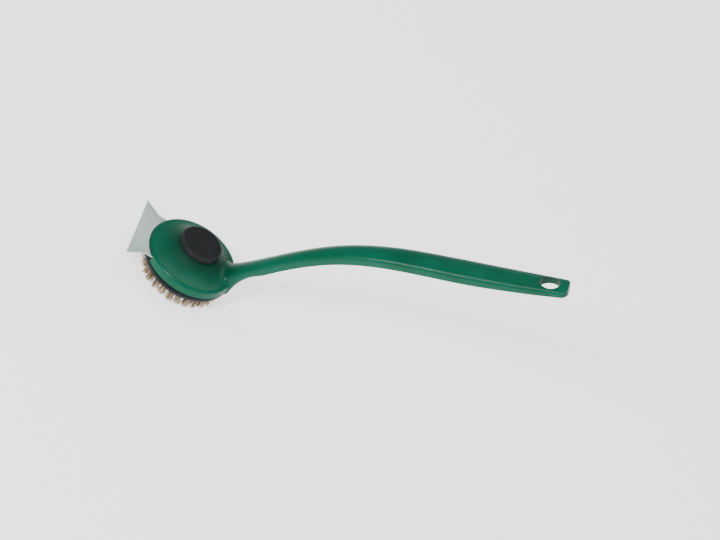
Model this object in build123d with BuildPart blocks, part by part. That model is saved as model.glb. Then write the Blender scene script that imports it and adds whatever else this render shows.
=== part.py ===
"""Grill cleaning brush: a goose-neck moulded handle whose round head carries a tufted wire
brush, a fishtail scraper blade and a palm knob on a captive bolt that holds the brush on.

Frame: millimetres, +Z up along the brush head's axis, +X towards the handle's tail.
The origin is the middle of the bristle tips, which lie in the plane Z = 0.
"""

import os
from math import cos, exp, pi, radians, sin

from build123d import *

os.makedirs("parts", exist_ok=True)

# ---------------------------------------------------------------- driving dimensions (mm)
# levels above the bristle tips
block_face_z = 13.2  # working face of the brush block
rim_z = block_face_z + 10.0  # lower edge of the head's wall
blade_z = rim_z + 4.2  # underside of the scraper blade
blade_thick = 1.2
rib_z = rim_z + 6.0  # lower edge of the ribs inside the head
recess_z = rim_z + 19.2  # floor of the recess on top of the head, under the knob's washers
seat_z = rim_z + 21.8  # flat on top of the head, around the recess

# head of the handle
rim_r = 48.5
shoulder_r = 47.2
shoulder_z = rim_z + 8.8
shoulder_fillet = 4.0
root_edge_fillet = 5.0  # along the root's sides, where they meet the head's wall
root_fillet = 7.0  # where the handle grows out of the head
# sweep under the root, from the rim up to the neck's underside: X and height above the rim
root_sweep = ((48.2, -1.0), (51.2, 12.5), (59.5, 28.0), (66.0, 34.3))
seat_r = 20.5
recess_r = 10.0
dome_mid = (33.5, rim_z + 13.5)  # radius and level half way down the dome
head_wall = 3.0
bore_boss_r = 8.0
screw_boss_r = 4.2
peg_boss_r = 5.0
rib_thick = 2.0
rib_count = 8

# handle: the centre line in the XZ plane, and its sections
spine = (
    (38.0, rim_z + 4.5),
    (80.0, rim_z + 63.0),
    (115.0, rim_z + 102.0),
    (155.5, rim_z + 131.5),
    (222.0, rim_z + 164.3),
    (288.0, rim_z + 197.3),
    (321.7, rim_z + 215.3),
)
spine_start_slope = 55.5
spine_end_slope = 28.0
# half width and half thickness: at the thin of the neck, gained towards the root, at the
# fullest of the grip, and lost again towards the tail
neck_half = (9.2, 7.4)
root_gain = (8.0, 3.2)
grip_half = (14.6, 8.7)
tail_loss = (2.6, 3.1)
underside = 0.48  # depth below the spine, as a share of the half thickness
root_underside = 1.0  # added to that share at the root
root_share = 0.045
swell_from = 0.10
swell_to = 0.71
section_count = 18
channel_wall = 2.4
channel_roof = 2.6
channel_from = 0.10
channel_to = 0.90
channel_rib_count = 13
channel_rib_thick = 1.6
tail_corner_r = 8.5
hang_hole_length = 21.0
hang_hole_width = 18.0
hang_hole_inset = 19.5

# scraper blade
blade_front_x = -63.5
blade_half_front = 42.0
blade_shoulder_x = -47.5
blade_half_shoulder = 30.3
blade_half_neck = 29.8
blade_neck_x = -43.0
blade_back_x = 14.0
blade_screw_x = -22.0
blade_screw_y = 18.0
blade_clearance = 0.25

# brush block
block_r = 47.8
block_foot_r = 45.6
spigot_gap = 0.4
block_cut_z = rim_z - 0.3
peg_x = 26.0
peg_y = 13.0
peg_r = 3.0
peg_height = 7.0
insert_r = 4.6
insert_z = block_face_z + 6.4

# tufts and the anchors that hold them
tuft_hole_r = 2.35
tuft_root_r = 2.3
tuft_tip_r = 2.9
tuft_depth = 5.5
ring_pitch = 9.75
ring_counts = (1, 6, 13, 20, 27)
outer_lean = 0.4
anchor_length = 5.6
anchor_thick = 0.5
anchor_height = 1.8

# knob, bolt and washers
knob_r = 22.4
knob_edge_z = rim_z + 22.7
knob_top_z = rim_z + 28.2
knob_hub_z = rim_z + 22.2
knob_hub_r = 9.2
knob_edge_fillet = 1.3
cap_r = 19.2
cap_thick = 1.0
bolt_r = 3.0
bolt_bore_r = 3.06
bolt_hex = 10.0
bolt_head_z = rim_z + 24.0
bolt_end_z = insert_z + 0.6
washer_r = 9.0
washer_bore_r = 3.3
washer_z = recess_z + 0.3
washer_thick = 1.2

# blade screws
screw_r = 1.45
screw_head_r = 3.2
screw_head_thick = 2.0
screw_length = 9.0

screw_spots = [(blade_screw_x, blade_screw_y), (blade_screw_x, -blade_screw_y)]
peg_spots = [(peg_x, peg_y), (peg_x, -peg_y)]
blade_top_z = blade_z + blade_thick
spigot_r = rim_r - head_wall - spigot_gap

# ---------------------------------------------------------------- handle, with the head
with BuildLine(Plane.XZ) as spine_line:
    Spline(
        *spine,
        tangents=(
            (cos(radians(spine_start_slope)), sin(radians(spine_start_slope))),
            (cos(radians(spine_end_slope)), sin(radians(spine_end_slope))),
        ),
    )
spine_path = spine_line.edge()


def spine_plane(share):
    """Section plane at a share of the handle's length: its Y axis points to the handle's top."""
    return Plane(
        origin=spine_path.position_at(share), x_dir=(0, 1, 0), z_dir=spine_path.tangent_at(share)
    )


def section_size(share):
    """Half width and half thickness at a share of the handle's length."""
    swell = sin(pi / 2 * min(1, max(0, share - swell_from) / (swell_to - swell_from))) ** 2
    fall = (max(0, share - swell_to) / (1 - swell_to)) ** 1.5
    return tuple(
        neck + gain * exp(-share / root_share) + (full - neck) * swell - loss * fall
        for neck, gain, full, loss in zip(neck_half, root_gain, grip_half, tail_loss)
    )


def underside_depth(share):
    """Depth of the bar's underside below the spine."""
    return (underside + root_underside * exp(-share / root_share)) * section_size(share)[1]


# the grip and neck, as a crowned bar along the spine
with BuildPart() as bar:
    for station in range(section_count + 1):
        share = (station / section_count) ** 1.3
        half_width, half_thick = section_size(share)
        depth = underside_depth(share)
        with BuildSketch(spine_plane(share)):
            with BuildLine():
                ThreePointArc(
                    (-half_width, 0.5 * half_thick), (0, half_thick), (half_width, 0.5 * half_thick)
                )
                Polyline(
                    (half_width, 0.5 * half_thick),
                    (half_width - 0.5, -depth),
                    (0.5 - half_width, -depth),
                    (-half_width, 0.5 * half_thick),
                )
            outline = make_face()
            corners = outline.vertices().sort_by(Axis.Y)
            fillet(corners[2:], radius=0.55 * half_thick)
            fillet(corners[:2], radius=0.22 * half_thick)
    loft()

# the open channel moulded into the underside of the bar, crossed by thin ribs
with BuildPart() as channel:
    steps = 14
    for step in range(steps + 1):
        share = channel_from + (channel_to - channel_from) * step / steps
        half_width, half_thick = section_size(share)
        with BuildSketch(spine_plane(share)):
            side = half_width - channel_wall
            shoulder = 0.5 * half_thick - 2
            bottom = -underside_depth(share) - 2
            with BuildLine():
                ThreePointArc((-side, shoulder), (0, half_thick - channel_roof), (side, shoulder))
                Polyline((side, shoulder), (side, bottom), (-side, bottom), (-side, shoulder))
            make_face()
    loft()
    for rib in range(1, channel_rib_count + 1):
        share = channel_from + (channel_to - channel_from) * rib / (channel_rib_count + 1)
        half_width, half_thick = section_size(share)
        with Locations(spine_plane(share)):
            Box(60, 2 * underside_depth(share) - 1.6, channel_rib_thick, mode=Mode.SUBTRACT)

tail = spine_plane(1.0)
tail_half = section_size(1.0)[0]
tail_deck = Plane(origin=tail.origin, x_dir=tail.z_dir, z_dir=tail.y_dir)

with BuildPart() as handle:
    # domed head
    with BuildSketch(Plane.XZ):
        with BuildLine():
            Line((0, rim_z), (rim_r, rim_z))
            Line((rim_r, rim_z), (shoulder_r, shoulder_z))
            ThreePointArc((shoulder_r, shoulder_z), dome_mid, (seat_r, seat_z))
            Polyline((seat_r, seat_z), (0, seat_z), (0, rim_z))
        shell = make_face()
        fillet(shell.vertices().filter_by_position(Axis.X, 47.0, 47.5), radius=shoulder_fillet)
        fillet(shell.vertices().filter_by_position(Axis.X, seat_r - 1, seat_r + 1), radius=2.0)
    revolve(axis=Axis.Z)
    add(bar.part)
    # everything of the bar that runs below the rim goes
    with Locations((0, 0, rim_z)):
        Box(400, 200, 60, align=(Align.CENTER, Align.CENTER, Align.MAX), mode=Mode.SUBTRACT)
    # blend between the neck and the dome
    seams = handle.edges().filter_by(GeomType.BSPLINE).filter_by_position(Axis.X, 25, 60)
    fillet(seams.filter_by(lambda e: e.bounding_box().max.Z > rim_z + 2), radius=root_fillet)
    # sweep that trims the root's underside
    with BuildSketch(Plane.XZ):
        with BuildLine():
            Spline(*[(x, rim_z + up) for x, up in root_sweep])
            start, end = [(x, rim_z + up) for x, up in (root_sweep[0], root_sweep[-1])]
            Polyline(end, (end[0] + 20, end[1]), (end[0] + 20, start[1]), start)
        make_face()
    extrude(amount=30, both=True, mode=Mode.SUBTRACT)
    low_edges = handle.edges().filter_by_position(Axis.X, rim_r, 54)
    low_edges = low_edges.filter_by(lambda e: abs(e.center().Y) > 6 and e.bounding_box().size.Z > 3)
    fillet(low_edges.filter_by(GeomType.BSPLINE), radius=root_edge_fillet)
    # hollow of the head
    with BuildSketch(Plane.XZ):
        with BuildLine():
            Polyline((0, rim_z), (rim_r - head_wall, rim_z), (rim_r - head_wall, shoulder_z - 3.5))
            ThreePointArc(
                (rim_r - head_wall, shoulder_z - 3.5),
                (dome_mid[0] - 1.0, dome_mid[1] - head_wall - 0.3),
                (seat_r, seat_z - head_wall - 0.9),
            )
            Polyline(
                (seat_r, seat_z - head_wall - 0.9),
                (recess_r + 4, recess_z - head_wall),
                (0, recess_z - head_wall),
                (0, rim_z),
            )
        make_face()
    revolve(axis=Axis.Z, mode=Mode.SUBTRACT)
    # ribs, the bolt's boss and the bosses for the screws and pegs, up to the underside of the dome
    with BuildSketch(Plane.XY.offset(rib_z)):
        with PolarLocations(0, rib_count // 2, angular_range=180):
            Rectangle(2 * (rim_r - head_wall) + 1, rib_thick)
        with Locations(*screw_spots):
            Circle(screw_boss_r)
        with Locations(*peg_spots):
            Circle(peg_boss_r)
        Circle(bore_boss_r + 1)
    extrude(until=Until.NEXT)
    with BuildSketch(Plane.XY.offset(blade_top_z)):
        with Locations(*screw_spots):
            Circle(screw_boss_r)
        Circle(bore_boss_r)
    extrude(amount=rib_z - blade_top_z)
    # recess for the washers, and holes for the bolt, the screws and the pegs
    with BuildSketch(Plane.XY.offset(recess_z)):
        Circle(recess_r)
    extrude(amount=seat_z, mode=Mode.SUBTRACT)
    with BuildSketch(Plane.XY.offset(blade_z)):
        Circle(bolt_bore_r)
    extrude(amount=seat_z, mode=Mode.SUBTRACT)
    with BuildSketch(Plane.XY.offset(blade_z)):
        with Locations(*screw_spots):
            Circle(screw_r + 0.05)
    extrude(amount=screw_length - 1.5, mode=Mode.SUBTRACT)
    with BuildSketch(Plane.XY.offset(blade_z)):
        with Locations(*peg_spots):
            Circle(peg_r + 0.15)
    extrude(amount=peg_height + 0.4, mode=Mode.SUBTRACT)
    # notch in the wall that the blade drops into from below
    with Locations((-rim_r, 0, rim_z)):
        Box(
            30,
            2 * (blade_half_shoulder + blade_clearance),
            blade_top_z - rim_z + blade_clearance,
            align=(Align.CENTER, Align.CENTER, Align.MIN),
            mode=Mode.SUBTRACT,
        )
    add(channel.part, mode=Mode.SUBTRACT)
    # square tail with rounded corners and the hole to hang it by
    with BuildSketch(tail_deck.offset(-20)):
        with Locations((-10, 0)):
            Rectangle(2 * 30, 2 * tail_half + 10)
        with Locations((-35, 0)):
            RectangleRounded(70, 2 * tail_half + 0.2, tail_corner_r, mode=Mode.SUBTRACT)
        with Locations((-40, 0)):
            Rectangle(40, 2 * tail_half + 20, mode=Mode.SUBTRACT)
    extrude(amount=40, mode=Mode.SUBTRACT)
    with BuildSketch(tail_deck.offset(-20)):
        with Locations((-hang_hole_inset, 0)):
            Ellipse(hang_hole_length / 2, hang_hole_width / 2)
    extrude(amount=40, mode=Mode.SUBTRACT)

handle.part.label = "handle"
export_step(handle.part, "parts/handle.step")

# ---------------------------------------------------------------- scraper blade
with BuildPart() as scraper:
    with BuildSketch(Plane.XY.offset(blade_z)):
        with BuildLine():
            for side in (1, -1):
                Line((blade_front_x, 0), (blade_front_x, side * blade_half_front))
                Line(
                    (blade_front_x, side * blade_half_front),
                    (blade_shoulder_x, side * blade_half_shoulder),
                )
                ThreePointArc(
                    (blade_shoulder_x, side * blade_half_shoulder),
                    (blade_shoulder_x + 2.6, side * (blade_half_neck + 0.05)),
                    (blade_neck_x, side * blade_half_neck),
                )
                Line((blade_neck_x, side * blade_half_neck), (blade_back_x, side * blade_half_neck))
                Line((blade_back_x, side * blade_half_neck), (blade_back_x, 0))
        make_face()
        Circle(bolt_bore_r + 0.5, mode=Mode.SUBTRACT)
        with Locations(*screw_spots):
            Circle(screw_r + 0.2, mode=Mode.SUBTRACT)
    extrude(amount=blade_thick)
    back = scraper.edges().filter_by(Axis.Z).filter_by_position(Axis.X, 13, 15)
    fillet(back, radius=10)

scraper.part.label = "scraper"
export_step(scraper.part, "parts/scraper.step")

with BuildPart() as scraper_screws:
    for x, y in screw_spots:
        with Locations((x, y, blade_z)):
            Cylinder(screw_head_r, screw_head_thick, align=(Align.CENTER, Align.CENTER, Align.MAX))
            Cylinder(screw_r, screw_length - 2, align=(Align.CENTER, Align.CENTER, Align.MIN))
        with Locations((x, y, blade_z - screw_head_thick)):
            Box(4.4, 0.8, 2 * 0.8, mode=Mode.SUBTRACT)
            Box(0.8, 4.4, 2 * 0.8, mode=Mode.SUBTRACT)

scraper_screws.part.label = "scraper_screws"
export_step(scraper_screws.part, "parts/scraper_screws.step")

# ---------------------------------------------------------------- brush block and its insert


def ring_spots(ring):
    """Radius and angles (degrees) of one ring of tufts."""
    count = ring_counts[ring]
    return ring * ring_pitch, [360 * (k + 0.5 * (ring % 2)) / count for k in range(count)]


rings = range(len(ring_counts))
tuft_top_z = block_face_z + tuft_depth

with BuildPart() as brush_block:
    with BuildSketch(Plane.XZ):
        with BuildLine():
            Polyline(
                (0, block_face_z),
                (block_foot_r - 1.2, block_face_z),
                (block_foot_r, block_face_z + 1.2),
                (block_r, block_cut_z - 3.5),
                (block_r, block_cut_z),
                (spigot_r, block_cut_z),
                (spigot_r, blade_z),
                (0, blade_z),
                close=True,
            )
        make_face()
    revolve(axis=Axis.Z)
    # rest that fills the head's notch under the blade
    with BuildSketch(Plane.XY.offset(block_cut_z)):
        Circle(block_r)
        with Locations((block_r, 0)):
            Rectangle(4 * block_r - 2 * 30, 4 * block_r, mode=Mode.SUBTRACT)
        with Locations((0, block_r + blade_half_neck), (0, -block_r - blade_half_neck)):
            Rectangle(4 * block_r, 2 * block_r, mode=Mode.SUBTRACT)
    extrude(amount=blade_z - block_cut_z)
    # locating pegs
    with BuildSketch(Plane.XY.offset(blade_z)):
        with Locations(*peg_spots):
            Circle(peg_r)
    extrude(amount=peg_height, taper=1)
    # room for the insert, the blade's screw heads, the tufts and their anchors
    with BuildSketch(Plane.XY.offset(insert_z)):
        Circle(insert_r)
    extrude(amount=blade_z - insert_z, mode=Mode.SUBTRACT)
    with BuildSketch(Plane.XY.offset(blade_z)):
        with Locations(*screw_spots):
            Circle(screw_head_r + 0.4)
    extrude(amount=-screw_head_thick - 0.4, mode=Mode.SUBTRACT)
    with BuildSketch(Plane.XY.offset(block_face_z)):
        for ring in rings:
            radius, angles = ring_spots(ring)
            with PolarLocations(radius, len(angles), start_angle=angles[0]):
                Circle(tuft_hole_r)
    extrude(amount=tuft_depth, mode=Mode.SUBTRACT)
    with BuildSketch(Plane.XY.offset(tuft_top_z)):
        for ring in rings:
            radius, angles = ring_spots(ring)
            with PolarLocations(radius, len(angles), start_angle=angles[0]):
                Rectangle(anchor_thick, anchor_length)
    extrude(amount=-anchor_height, mode=Mode.SUBTRACT)

brush_block.part.label = "brush_block"
export_step(brush_block.part, "parts/brush_block.step")

with BuildPart() as block_insert:
    with BuildSketch(Plane.XZ):
        with BuildLine():
            Polyline(
                (bolt_bore_r, insert_z),
                (insert_r - 0.5, insert_z),
                (insert_r, insert_z + 0.5),
                (insert_r, insert_z + 3.0),
                (insert_r - 0.7, insert_z + 3.4),
                (insert_r - 0.7, insert_z + 4.2),
                (insert_r, insert_z + 4.6),
                (insert_r, blade_z),
                (bolt_bore_r, blade_z),
                close=True,
            )
        make_face()
    revolve(axis=Axis.Z)

block_insert.part.label = "block_insert"
export_step(block_insert.part, "parts/block_insert.step")

# ---------------------------------------------------------------- tufts and anchors

tuft_names = ["tufts_centre"] + [f"tufts_ring_{ring}" for ring in rings[1:]]
for ring in rings:
    radius, angles = ring_spots(ring)
    lean = outer_lean if ring == rings[-1] else 0.0
    with BuildPart() as tufts:
        with BuildSketch(Plane.XY.offset(block_face_z)):
            with PolarLocations(radius, len(angles), start_angle=angles[0]):
                Circle(tuft_root_r)
        extrude(amount=tuft_depth)
        for angle in angles:
            x = cos(radians(angle))
            y = sin(radians(angle))
            with BuildSketch(Plane.XY.offset(block_face_z)):
                with Locations((radius * x, radius * y)):
                    Circle(tuft_root_r)
            with BuildSketch(Plane.XY):
                with Locations(((radius + lean) * x, (radius + lean) * y)):
                    Circle(tuft_tip_r)
            loft()
        with BuildSketch(Plane.XY.offset(tuft_top_z)):
            with PolarLocations(radius, len(angles), start_angle=angles[0]):
                Rectangle(anchor_thick, anchor_length)
        extrude(amount=-anchor_height, mode=Mode.SUBTRACT)
    tufts.part.label = tuft_names[ring]
    export_step(tufts.part, f"parts/{tuft_names[ring]}.step")

with BuildPart() as tuft_anchors:
    with BuildSketch(Plane.XY.offset(tuft_top_z)):
        for ring in rings:
            radius, angles = ring_spots(ring)
            with PolarLocations(radius, len(angles), start_angle=angles[0]):
                Rectangle(anchor_thick, anchor_length)
    extrude(amount=-anchor_height)

tuft_anchors.part.label = "tuft_anchors"
export_step(tuft_anchors.part, "parts/tuft_anchors.step")

# ---------------------------------------------------------------- knob, bolt and washers
with BuildPart() as knob:
    with BuildSketch(Plane.XZ):
        with BuildLine():
            Polyline(
                (bolt_r + 0.1, knob_hub_z),
                (knob_hub_r, knob_hub_z),
                (knob_hub_r, knob_edge_z),
                (knob_r, knob_edge_z),
                (knob_r, knob_top_z),
                (cap_r + 0.15, knob_top_z),
                (cap_r + 0.15, knob_top_z - cap_thick),
                (bolt_r + 0.1, knob_top_z - cap_thick),
                close=True,
            )
        profile = make_face()
        rim = profile.vertices().filter_by_position(Axis.X, knob_r - 0.1, knob_r + 0.1)
        fillet(rim, radius=knob_edge_fillet)
    revolve(axis=Axis.Z)
    with BuildSketch(Plane.XY.offset(bolt_head_z)):
        RegularPolygon(bolt_hex / 2 + 0.1, 6, major_radius=False)
    extrude(amount=knob_top_z - bolt_head_z, mode=Mode.SUBTRACT)

knob.part.label = "knob"
export_step(knob.part, "parts/knob.step")

with BuildPart() as knob_cap:
    with BuildSketch(Plane.XY.offset(knob_top_z - cap_thick)):
        Circle(cap_r)
    extrude(amount=cap_thick - 0.15)
    fillet(knob_cap.edges().sort_by(Axis.Z)[-1], radius=0.4)

knob_cap.part.label = "knob_cap"
export_step(knob_cap.part, "parts/knob_cap.step")

with BuildPart() as knob_bolt:
    with BuildSketch(Plane.XY.offset(bolt_end_z)):
        Circle(bolt_r)
    extrude(amount=bolt_head_z - bolt_end_z)
    chamfer(knob_bolt.edges().sort_by(Axis.Z)[0], length=0.7)
    with BuildSketch(Plane.XY.offset(bolt_head_z)):
        RegularPolygon(bolt_hex / 2, 6, major_radius=False)
    extrude(amount=knob_top_z - cap_thick - bolt_head_z)

knob_bolt.part.label = "knob_bolt"
export_step(knob_bolt.part, "parts/knob_bolt.step")

with BuildPart() as knob_washer:
    with BuildSketch(Plane.XY.offset(washer_z)):
        Circle(washer_r)
        Circle(washer_bore_r, mode=Mode.SUBTRACT)
    extrude(amount=washer_thick)

knob_washer.part.label = "knob_washer"
export_step(knob_washer.part, "parts/knob_washer.step")

spring_z = washer_z + washer_thick
with BuildPart() as spring_washer:
    with BuildSketch(Plane.XY.offset(spring_z)):
        Circle(washer_bore_r + 2.2)
        Circle(washer_bore_r, mode=Mode.SUBTRACT)
        with Locations((washer_bore_r + 1.1, 0)):
            Rectangle(3, 0.8, rotation=20, mode=Mode.SUBTRACT)
    extrude(amount=washer_thick)

spring_washer.part.label = "spring_washer"
export_step(spring_washer.part, "parts/spring_washer.step")
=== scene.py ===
"""Studio scene of the grill cleaning brush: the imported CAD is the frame, and this script adds
the wire tufts, the bolt's thread, the finishes, the light and the camera."""

import math
import random

import bpy
from mathutils import Matrix, Vector


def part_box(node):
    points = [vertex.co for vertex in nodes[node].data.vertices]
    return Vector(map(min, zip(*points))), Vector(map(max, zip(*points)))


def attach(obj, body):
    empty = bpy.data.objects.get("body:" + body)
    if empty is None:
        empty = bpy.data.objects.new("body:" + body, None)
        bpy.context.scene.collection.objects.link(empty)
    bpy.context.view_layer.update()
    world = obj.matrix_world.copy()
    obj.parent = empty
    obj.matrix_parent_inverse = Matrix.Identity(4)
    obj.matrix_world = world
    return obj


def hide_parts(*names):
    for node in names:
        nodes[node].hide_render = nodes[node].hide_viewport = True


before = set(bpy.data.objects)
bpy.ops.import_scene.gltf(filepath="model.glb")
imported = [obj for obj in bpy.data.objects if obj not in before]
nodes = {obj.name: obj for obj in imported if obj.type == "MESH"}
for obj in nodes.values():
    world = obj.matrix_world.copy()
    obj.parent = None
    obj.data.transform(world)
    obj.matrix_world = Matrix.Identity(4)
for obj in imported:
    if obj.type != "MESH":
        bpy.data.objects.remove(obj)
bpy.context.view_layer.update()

# ---------------------------------------------------------------- sizes and levels (metres)
MM = 0.001
FACE_Z = 13.2 * MM  # working face of the brush block

# tufts: the middle one and the rings around it
RING_PITCH = 9.75 * MM
RING_COUNTS = (1, 6, 13, 20, 27)
OUTER_LEAN = 0.4 * MM  # outwards, at the tips of the outer ring
ROOT_R = 2.1 * MM  # a tuft's radius in its hole
ROOT_DEPTH = 1.5 * MM  # how far the wires reach into the block
TIP_SPREAD = 4.1 * MM  # a tuft's radius at its tips
TIP_GAP = 0.02 * MM  # left under the longest wires
SHORTENING = 1.8 * MM  # of the wires worn shortest
TUFT_WANDER = 0.5 * MM  # of a whole tuft's tips
STRAY = 0.7 * MM  # of one wire's tip
WIRE_R = (0.15 * MM, 0.23 * MM)
CRIMP = (0.10 * MM, 0.24 * MM)  # how far a wire's waves swing
CRIMP_WAVES = (3.2, 4.2)  # along a wire
BOW = 0.5 * MM  # of a whole wire
TUFT_TONE = 0.12  # how far a tuft's shade strays from the middle
WIRE_TONE = 0.32  # spread of the wires' shades in a tuft
WIRES_PER_TUFT = 84
WIRE_SIDES = 5
WIRE_STEPS = 8
GOLDEN_ANGLE = 2.39996  # between one wire of a tuft and the next, in radians

# bolt under the knob
BOLT_R = 3.0 * MM
PLAIN_SHANK = 9.0 * MM  # under the bolt's head, without thread
THREAD_PITCH = 1.0 * MM
THREAD_DEPTH = 0.55 * MM
THREAD_LEAD = 0.7 * MM  # taper at the bolt's end
TIP_RELIEF = 0.2 * MM  # of the end below the thread's root
GROOVE_SLOPE = 1.35  # above 1, the groove has a flat bottom
THREAD_SIDES = 32
THREAD_ROWS = 8  # rows of points to each turn
HEX_HEIGHT = 3.2 * MM
HEX_FLATS = 10.0 * MM
HEX_CHAMFER = 0.35 * MM

# painted shade on the dome around the knob, standing in for its shadow and occlusion; the surface is
# also rougher there
KNOB_SHADE_START = 20.0 * MM  # under the knob's edge
KNOB_SHADE_END = 41.0 * MM
KNOB_SHADE_MOST = 0.75  # share of the painted shade beside the knob
KNOB_SHADE_ROUGH = 0.7

BLOTCHES = ((0.3, 0.0), (0.7, 1.0))  # ramp stops that turn a noise into soft patches


# ---------------------------------------------------------------- material helpers
def ramp(tree, source, stops):
    """A colour ramp fed by source: stops are (position, grey or colour)."""
    node = tree.nodes.new("ShaderNodeValToRGB")
    tree.links.new(source, node.inputs["Fac"])
    elements = node.color_ramp.elements
    while len(elements) < len(stops):
        elements.new(0.5)
    for element, (position, value) in zip(elements, stops):
        element.position = position
        element.color = (*value, 1.0) if hasattr(value, "__len__") else (value, value, value, 1.0)
    return node.outputs["Color"]


def noise(tree, coords, scale, detail=4.0, rough=0.5, stretch=(1.0, 1.0, 1.0)):
    """Noise in object coordinates, squeezed along each axis by stretch."""
    mapping = tree.nodes.new("ShaderNodeMapping")
    mapping.inputs["Scale"].default_value = stretch
    tree.links.new(coords, mapping.inputs["Vector"])
    node = tree.nodes.new("ShaderNodeTexNoise")
    node.inputs["Scale"].default_value = scale
    node.inputs["Detail"].default_value = detail
    node.inputs["Roughness"].default_value = rough
    tree.links.new(mapping.outputs["Vector"], node.inputs["Vector"])
    return node.outputs["Fac"]


def mix(tree, factor, a, b):
    """Colour mix of two sockets or colours by a factor socket or number."""
    node = tree.nodes.new("ShaderNodeMix")
    node.data_type = "RGBA"
    for socket, value in ((node.inputs[0], factor), (node.inputs[6], a), (node.inputs[7], b)):
        if isinstance(value, bpy.types.NodeSocket):
            tree.links.new(value, socket)
        elif hasattr(value, "__len__"):
            socket.default_value = (*value, 1.0)
        else:
            socket.default_value = value
    return node.outputs[2]


def bump(tree, height, strength, distance, below=None):
    """A bump of a height socket, over another bump if there is one below."""
    node = tree.nodes.new("ShaderNodeBump")
    node.inputs["Strength"].default_value = strength
    node.inputs["Distance"].default_value = distance
    tree.links.new(height, node.inputs["Height"])
    if below is not None:
        tree.links.new(below, node.inputs["Normal"])
    return node.outputs["Normal"]


def new_material(name):
    """A material's tree, its shader and its object coordinates."""
    mat = bpy.data.materials.new(name)
    mat.use_nodes = True
    tree = mat.node_tree
    shader = tree.nodes["Principled BSDF"]
    coords = tree.nodes.new("ShaderNodeTexCoord").outputs["Object"]
    return mat, tree, shader, coords


def paint_occlusion_shade(tree, colour, dark, distance):
    """Painted shade: colour that turns to dark where the surface is closed in, as ambient occlusion
    shades corners.
    """
    node = tree.nodes.new("ShaderNodeAmbientOcclusion")
    node.samples = 6
    node.inputs["Distance"].default_value = distance
    fac = ramp(tree, node.outputs["AO"], ((0.3, 1.0), (0.92, 0.0)))
    return mix(tree, fac, colour, dark)


def knob_shade_share(tree, coords):
    """Share of painted shade on the dome (the knob's shadow): the most beside the knob, falling to 0
    at the outer radius and beyond.
    """
    flat = tree.nodes.new("ShaderNodeVectorMath")
    flat.operation = "MULTIPLY"
    flat.inputs[1].default_value = (1.0, 1.0, 0.0)
    tree.links.new(coords, flat.inputs[0])
    reach = tree.nodes.new("ShaderNodeVectorMath")
    reach.operation = "LENGTH"
    tree.links.new(flat.outputs["Vector"], reach.inputs[0])
    share = tree.nodes.new("ShaderNodeMapRange")
    share.inputs["From Min"].default_value = KNOB_SHADE_START
    share.inputs["From Max"].default_value = KNOB_SHADE_END
    share.inputs["To Min"].default_value = KNOB_SHADE_MOST
    share.inputs["To Max"].default_value = 0.0
    share.interpolation_type = "SMOOTHSTEP"
    tree.links.new(reach.outputs["Value"], share.inputs["Value"])
    return share.outputs["Result"]


# ---------------------------------------------------------------- materials
def moulded_green():
    """The handle's satin plastic, with flow marks, specks, painted shade around the knob and painted
    occlusion shade in hollows.
    """
    mat, tree, shader, coords = new_material("green moulded plastic")
    cloud = noise(tree, coords, 38.0, 3.0)
    flow = noise(tree, coords, 120.0, 5.0, 0.6, (0.25, 1.0, 1.0))
    grain = noise(tree, coords, 2600.0, 2.0, 0.6)
    speck = noise(tree, coords, 900.0, 3.0, 0.7)
    base = mix(tree, ramp(tree, cloud, BLOTCHES), (0.0, 0.074, 0.038), (0.0, 0.095, 0.053))
    base = mix(tree, ramp(tree, flow, ((0.55, 0.0), (0.8, 0.35))), base, (0.0, 0.120, 0.072))
    base = mix(tree, ramp(tree, speck, ((0.66, 0.0), (0.78, 0.5))), base, (0.004, 0.15, 0.095))
    # painted shade: the dome is darker and rougher beside the knob, where its shadow falls
    knob_shade = knob_shade_share(tree, coords)
    base = mix(tree, knob_shade, base, (0.0, 0.024, 0.013))
    # painted occlusion shade in the hollows, over a wide reach
    base = paint_occlusion_shade(tree, base, (0.0, 0.014, 0.009), 0.026)
    tree.links.new(base, shader.inputs["Base Color"])
    satin = ramp(tree, flow, ((0.3, 0.27), (0.75, 0.40)))
    tree.links.new(mix(tree, knob_shade, satin, (KNOB_SHADE_ROUGH,) * 3), shader.inputs["Roughness"])
    shader.inputs["Specular IOR Level"].default_value = 0.15
    fine = bump(tree, grain, 0.35, 0.00006)
    tree.links.new(bump(tree, speck, 0.22, 0.00014, fine), shader.inputs["Normal"])
    return mat


def black_plastic(name, dark, light, rough, grain_scale, grain_depth, gloss):
    """Black moulding, scuffed and grained: rough is the lowest and highest roughness."""
    mat, tree, shader, coords = new_material(name)
    cloud = noise(tree, coords, 60.0, 4.0)
    scuff = noise(tree, coords, 260.0, 6.0, 0.7, (1.0, 0.2, 1.0))
    grain = noise(tree, coords, grain_scale, 2.0, 0.6)
    base = mix(tree, ramp(tree, cloud, BLOTCHES), dark, light)
    base = mix(tree, ramp(tree, scuff, ((0.62, 0.0), (0.8, 0.3))), base, [c * 2.6 for c in light])
    # painted occlusion shade in the corners
    base = paint_occlusion_shade(tree, base, [c * 0.3 for c in dark], 0.004)
    tree.links.new(base, shader.inputs["Base Color"])
    low, high = rough
    tree.links.new(ramp(tree, scuff, ((0.3, low), (0.75, high))), shader.inputs["Roughness"])
    shader.inputs["Specular IOR Level"].default_value = gloss
    tree.links.new(bump(tree, grain, 0.4, grain_depth), shader.inputs["Normal"])
    return mat


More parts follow.
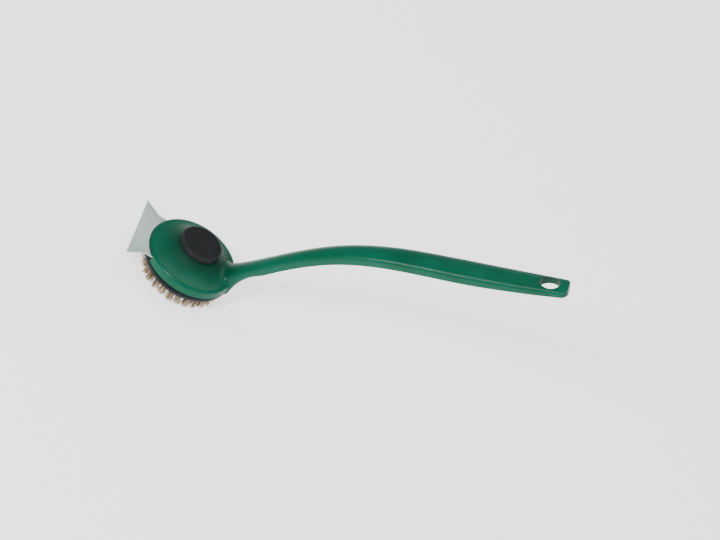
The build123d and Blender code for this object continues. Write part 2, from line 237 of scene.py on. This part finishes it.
def brushed_blade():
    """Stainless sheet with brush lines along Y."""
    mat, tree, shader, coords = new_material("brushed stainless sheet")
    lines = noise(tree, coords, 900.0, 4.0, 0.6, (1.0, 0.02, 1.0))
    cloud = noise(tree, coords, 45.0, 4.0, 0.6)
    fine = noise(tree, coords, 2400.0, 2.0, 0.6, (1.0, 0.05, 1.0))
    patches = ramp(tree, cloud, ((0.3, 0.0), (0.75, 1.0)))
    base = mix(tree, patches, (0.40, 0.50, 0.47), (0.49, 0.59, 0.56))
    base = mix(tree, ramp(tree, lines, ((0.35, 0.25), (0.65, 0.0))), base, (0.37, 0.43, 0.41))
    tree.links.new(base, shader.inputs["Base Color"])
    shader.inputs["Metallic"].default_value = 1.0
    tree.links.new(ramp(tree, lines, ((0.3, 0.34), (0.7, 0.5))), shader.inputs["Roughness"])
    shader.inputs["Anisotropic"].default_value = 0.4
    tree.links.new(bump(tree, fine, 0.3, 0.00003), shader.inputs["Normal"])
    return mat


def plated(name, low, high, rough):
    """Turned or plated small metal parts."""
    mat, tree, shader, coords = new_material(name)
    cloud = noise(tree, coords, 180.0, 4.0)
    rings = noise(tree, coords, 1500.0, 3.0, 0.6, (0.15, 0.15, 1.0))
    base = mix(tree, ramp(tree, cloud, BLOTCHES), low, high)
    tree.links.new(base, shader.inputs["Base Color"])
    shader.inputs["Metallic"].default_value = 1.0
    tree.links.new(ramp(tree, rings, ((0.3, rough), (0.7, rough + 0.15))), shader.inputs["Roughness"])
    tree.links.new(bump(tree, rings, 0.3, 0.00004), shader.inputs["Normal"])
    return mat


def brass_wire():
    """Brass whose shade is set wire by wire, tarnished, and with painted shade towards the block."""
    mat, tree, shader, coords = new_material("brass wire")
    tone = tree.nodes.new("ShaderNodeAttribute")
    tone.attribute_name = "tone"
    tarnish = noise(tree, coords, 700.0, 4.0, 0.6)
    per_wire = ramp(
        tree,
        tone.outputs["Fac"],
        (
            (0.0, (0.020, 0.012, 0.008)),
            (0.35, (0.13, 0.078, 0.042)),
            (0.62, (0.60, 0.43, 0.25)),
            (1.0, (0.98, 0.88, 0.72)),
        ),
    )
    base = mix(tree, ramp(tree, tarnish, ((0.45, 0.0), (0.7, 0.55))), per_wire, (0.20, 0.13, 0.075))
    height = tree.nodes.new("ShaderNodeSeparateXYZ")
    tree.links.new(coords, height.inputs["Vector"])
    # painted shade: the wires are darker towards their roots in the block, where they shade one
    # another
    root_shade = tree.nodes.new("ShaderNodeMapRange")
    root_shade.inputs["From Min"].default_value = 0.35 * FACE_Z
    root_shade.inputs["From Max"].default_value = FACE_Z
    root_shade.inputs["To Max"].default_value = 0.85
    tree.links.new(height.outputs["Z"], root_shade.inputs["Value"])
    base = mix(tree, root_shade.outputs["Result"], base, (0.028, 0.018, 0.012))
    tree.links.new(base, shader.inputs["Base Color"])
    shader.inputs["Metallic"].default_value = 0.85
    tree.links.new(ramp(tree, tarnish, ((0.3, 0.28), (0.7, 0.5))), shader.inputs["Roughness"])
    return mat


green = moulded_green()
knob_black = black_plastic(
    "knob black",
    dark=(0.006, 0.008, 0.009),
    light=(0.011, 0.014, 0.015),
    rough=(0.32, 0.46),
    grain_scale=2200.0,
    grain_depth=0.05 * MM,
    gloss=0.19,
)
cap_black = black_plastic(
    "cap black",
    dark=(0.006, 0.007, 0.008),
    light=(0.011, 0.013, 0.013),
    rough=(0.5, 0.7),
    grain_scale=1500.0,
    grain_depth=0.10 * MM,
    gloss=0.15,
)
block_black = black_plastic(
    "block black",
    dark=(0.002, 0.004, 0.006),
    light=(0.005, 0.009, 0.012),
    rough=(0.42, 0.58),
    grain_scale=1800.0,
    grain_depth=0.05 * MM,
    gloss=0.06,
)
blade = brushed_blade()
zinc = plated("zinc plate", (0.50, 0.50, 0.47), (0.64, 0.64, 0.62), 0.28)
brass_turned = plated("turned brass", (0.62, 0.45, 0.20), (0.78, 0.60, 0.32), 0.25)
drawn_wire = plated("drawn steel wire", (0.42, 0.41, 0.38), (0.58, 0.57, 0.54), 0.32)
wire = brass_wire()

FINISH = {
    "handle": green,
    "scraper": blade,
    "scraper_screws": zinc,
    "brush_block": block_black,
    "block_insert": brass_turned,
    "tuft_anchors": drawn_wire,
    "knob": knob_black,
    "knob_cap": cap_black,
    "knob_bolt": zinc,
    "knob_washer": zinc,
    "spring_washer": zinc,
}
for name, material in FINISH.items():
    nodes[name].data.materials.clear()
    nodes[name].data.materials.append(material)


# ---------------------------------------------------------------- mesh helpers
def new_object(name, verts, faces, material):
    """A mesh object in the scene."""
    mesh = bpy.data.meshes.new(name)
    mesh.from_pydata(verts, [], faces)
    mesh.update()
    mesh.materials.append(material)
    obj = bpy.data.objects.new(name, mesh)
    bpy.context.scene.collection.objects.link(obj)
    return obj


def add_piece(name, verts, faces, body, material, smooth=True):
    """A piece of the brush that rides on a body."""
    obj = new_object(name, verts, faces, material)
    obj.data.polygons.foreach_set("use_smooth", [smooth] * len(obj.data.polygons))
    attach(obj, body)
    return obj


def grid_tube(rings, verts, faces):
    """A closed tube through rings of points, capped at both ends."""
    start = len(verts)
    count = len(rings[0])
    for ring in rings:
        verts.extend(ring)
    for row in range(len(rings) - 1):
        for k in range(count):
            a = start + row * count + k
            b = start + row * count + (k + 1) % count
            faces.append((a, b, b + count, a + count))
    faces.append(tuple(start + k for k in reversed(range(count))))
    faces.append(tuple(start + (len(rings) - 1) * count + k for k in range(count)))


# ---------------------------------------------------------------- wire tufts
def ring_spots(ring):
    """Radius and angles of one ring of tufts."""
    count = RING_COUNTS[ring]
    return ring * RING_PITCH, [2 * math.pi * (k + 0.5 * (ring % 2)) / count for k in range(count)]


def one_wire(rng, root, tip, radius, verts, faces):
    """A crimped wire from the root to the tip, as a closed tube; returns its number of points."""
    axis = (tip - root).normalized()
    side = axis.cross(Vector((0.3, 1.0, 0.1))).normalized()
    other = axis.cross(side)
    turn = rng.uniform(0, 2 * math.pi)
    crimp_dir = side * math.cos(turn) + other * math.sin(turn)
    phase = rng.uniform(0, 2 * math.pi)
    crimp = rng.uniform(*CRIMP)
    waves = rng.uniform(*CRIMP_WAVES)
    bow = rng.uniform(-BOW, BOW)
    bow_turn = turn * 1.7  # turned away from the crimp
    bow_dir = side * math.sin(bow_turn) + other * math.cos(bow_turn)
    corners = [2 * math.pi * k / WIRE_SIDES for k in range(WIRE_SIDES)]
    rings = []
    for step in range(WIRE_STEPS + 1):
        t = step / WIRE_STEPS
        centre = root.lerp(tip, t)
        centre += crimp_dir * crimp * math.sin(phase + waves * 2 * math.pi * t) * min(1, 4 * t)
        centre += bow_dir * bow * math.sin(math.pi * t)
        rings.append([centre + (side * math.cos(a) + other * math.sin(a)) * radius for a in corners])
    grid_tube(rings, verts, faces)
    return len(rings) * WIRE_SIDES


rng = random.Random(7)
for ring in range(len(RING_COUNTS)):
    radius, angles = ring_spots(ring)
    lean = OUTER_LEAN if ring == len(RING_COUNTS) - 1 else 0.0
    verts, faces, tones = [], [], []
    for angle in angles:
        out = Vector((math.cos(angle), math.sin(angle), 0))
        root_centre = out * radius + Vector((0, 0, FACE_Z + ROOT_DEPTH))
        tip_centre = out * (radius + lean)
        tip_centre += Vector((rng.uniform(-1, 1), rng.uniform(-1, 1), 0)) * TUFT_WANDER
        tuft_tone = 0.5 + rng.uniform(-TUFT_TONE, TUFT_TONE)
        for k in range(WIRES_PER_TUFT):
            r = math.sqrt((k + 0.5) / WIRES_PER_TUFT)
            a = k * GOLDEN_ANGLE + rng.uniform(-0.3, 0.3)
            place = Vector((math.cos(a), math.sin(a), 0)) * r
            wire_r = rng.uniform(*WIRE_R)
            root = root_centre + place * (ROOT_R - wire_r)
            stray = Vector((rng.gauss(0, STRAY), rng.gauss(0, STRAY), 0))
            tip = tip_centre + place * TIP_SPREAD * rng.uniform(0.8, 1.1) + stray
            short = rng.uniform(0.0, 1.0) ** 2 * SHORTENING if k else 0.0
            tip.z = short + TIP_GAP
            count = one_wire(rng, root, tip, wire_r, verts, faces)
            tones += [min(1.0, max(0.0, rng.gauss(tuft_tone, WIRE_TONE)))] * count
    node = "tufts_centre" if ring == 0 else f"tufts_ring_{ring}"
    piece = add_piece(f"wires_{node}", verts, faces, "brush", wire)
    attribute = piece.data.attributes.new("tone", "FLOAT", "POINT")
    attribute.data.foreach_set("value", tones)
    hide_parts(node)


# ---------------------------------------------------------------- bolt with its thread
def thread_ring(z, major, depth):
    """One level of a shank whose radius falls and rises along a helix."""
    ring = []
    for k in range(THREAD_SIDES):
        turn = k / THREAD_SIDES
        groove = abs(2 * ((z / THREAD_PITCH - turn) % 1.0) - 1)
        r = major - depth * min(1.0, GROOVE_SLOPE * groove)
        ring.append((r * math.cos(2 * math.pi * turn), r * math.sin(2 * math.pi * turn), z))
    return ring


def hex_ring(z, across_flats):
    """The corners of one level of the bolt's head."""
    r = across_flats / math.sqrt(3)
    corners = [math.radians(60 * k) for k in range(6)]
    return [(r * math.cos(a), r * math.sin(a), z) for a in corners]


bolt_low, bolt_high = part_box("knob_bolt")
head_z = bolt_high[2] - HEX_HEIGHT
thread_top = head_z - PLAIN_SHANK
bolt_verts, bolt_faces = [], []
shank = [thread_ring(bolt_low[2], BOLT_R - THREAD_DEPTH - TIP_RELIEF, 0.0)]
level = bolt_low[2] + THREAD_LEAD
while level < thread_top:
    run_out = min(1.0, (thread_top - level) / THREAD_PITCH)
    shank.append(thread_ring(level, BOLT_R, THREAD_DEPTH * run_out))
    level += THREAD_PITCH / THREAD_ROWS
shank.append(thread_ring(thread_top, BOLT_R, 0.0))
shank.append(thread_ring(head_z, BOLT_R, 0.0))
grid_tube(shank, bolt_verts, bolt_faces)
head = [
    hex_ring(head_z, HEX_FLATS - 2 * HEX_CHAMFER),
    hex_ring(head_z + HEX_CHAMFER, HEX_FLATS),
    hex_ring(bolt_high[2] - HEX_CHAMFER, HEX_FLATS),
    hex_ring(bolt_high[2], HEX_FLATS - 2 * HEX_CHAMFER),
]
grid_tube(head, bolt_verts, bolt_faces)
bolt = add_piece(
    "threaded_bolt", bolt_verts, bolt_faces, "palm_knob", zinc, smooth=False
)
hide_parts("knob_bolt")


# ---------------------------------------------------------------- studio
FLOOR_HALF = 4.0
FLOOR_GLOW = 1.3

floor_mat, tree, shader, coords = new_material("white floor")
shade = mix(tree, noise(tree, coords, 3.0, 2.0), (0.93, 0.93, 0.93), (0.95, 0.95, 0.95))
tree.links.new(shade, shader.inputs["Base Color"])
shader.inputs["Roughness"].default_value = 0.9
shader.inputs["Emission Color"].default_value = (1.0, 1.0, 1.0, 1.0)
shader.inputs["Emission Strength"].default_value = FLOOR_GLOW
floor_corners = [(x * FLOOR_HALF, y * FLOOR_HALF, 0) for x, y in ((-1, -1), (1, -1), (1, 1), (-1, 1))]
floor = new_object("floor", floor_corners, [(0, 1, 2, 3)], floor_mat)


def softbox(name, place, aim, size, power):
    """A rectangular light at a place, turned towards the aim: size in metres, power in watts."""
    light = bpy.data.lights.new(name, "AREA")
    light.shape = "RECTANGLE"
    light.size, light.size_y = size
    light.energy = power
    obj = bpy.data.objects.new(name, light)
    bpy.context.scene.collection.objects.link(obj)
    obj.location = place
    obj.rotation_euler = (Vector(aim) - Vector(place)).to_track_quat("-Z", "Y").to_euler()


softbox("key", (-0.95, -1.45, 1.55), (0.1, 0, 0.1), (0.5, 0.5), 50.0)
softbox("top", (0.3, 0.9, 2.1), (0.1, 0, 0.1), (1.6, 1.6), 26.0)
softbox("fill", (1.7, -1.2, 0.8), (0.15, 0, 0.1), (1.2, 0.9), 6.0)

world = bpy.data.worlds.new("studio")
world.use_nodes = True
world.node_tree.nodes["Background"].inputs["Color"].default_value = (1.0, 1.0, 1.0, 1.0)
world.node_tree.nodes["Background"].inputs["Strength"].default_value = 0.34
bpy.context.scene.world = world

# ---------------------------------------------------------------- camera
RIGHT = Vector((0.8531, 0.2224, 0.4719))
UP = Vector((-0.4983, 0.6153, 0.6108))
BACK = Vector((-0.1545, -0.7563, 0.6358))
AIM = Vector((150.0, 32.1, 97.9)) * MM
DISTANCE = 5.0
VIEW_WIDTH = 0.72  # metres across the picture, at the aim
SENSOR_WIDTH = 36.0
camera_data = bpy.data.cameras.new("camera")
camera_data.sensor_width = SENSOR_WIDTH
camera_data.lens = SENSOR_WIDTH * DISTANCE / VIEW_WIDTH
camera_data.clip_end = 50.0
camera = bpy.data.objects.new("camera", camera_data)
bpy.context.scene.collection.objects.link(camera)
turn = Matrix((RIGHT, UP, BACK)).transposed()
camera.matrix_world = Matrix.Translation(AIM + BACK * DISTANCE) @ turn.to_4x4()
bpy.context.scene.camera = camera
